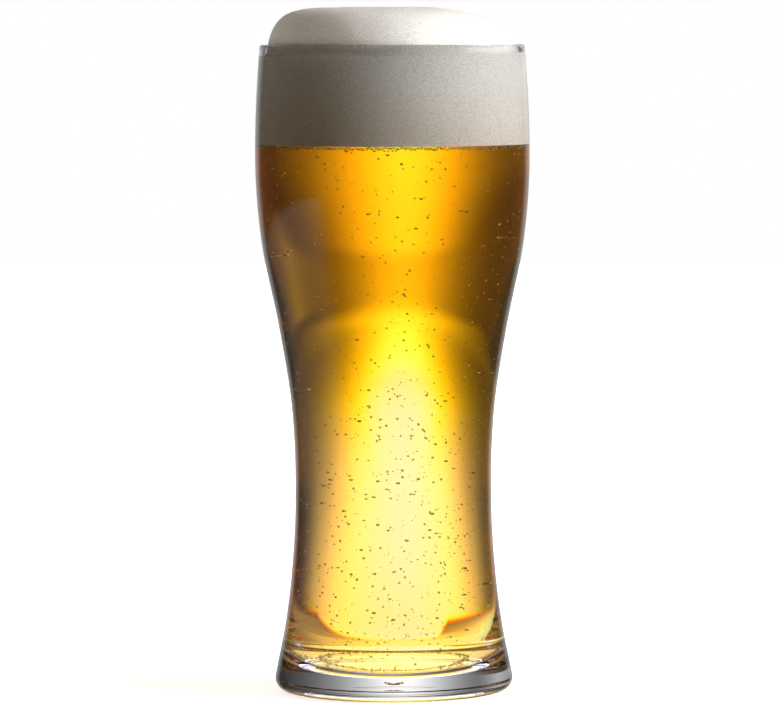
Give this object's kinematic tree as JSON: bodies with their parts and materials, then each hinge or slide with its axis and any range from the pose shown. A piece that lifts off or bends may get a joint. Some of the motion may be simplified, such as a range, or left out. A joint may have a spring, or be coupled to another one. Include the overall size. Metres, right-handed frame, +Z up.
{
  "type": "plastic pilsner glass",
  "caption": "Tall clear plastic pilsner glass with a wide bowl, narrow waist, flared foot and thick base, full of golden beer under a white foam head.",
  "frame": {"origin": "on the glass's axis, at the plane its foot stands on", "axes": "+Z up along the axis to the rim, +X towards the side where the foam head slopes gently"},
  "size_m": [0.0822, 0.0822, 0.2052],
  "materials": {
    "clear_plastic": "polished",
    "beer": "polished",
    "foam": "matte"
  },
  "bodies": {
    "root": {"glass": "clear_plastic", "beer": "beer", "foam": "foam"}
  },
  "joints": []
}
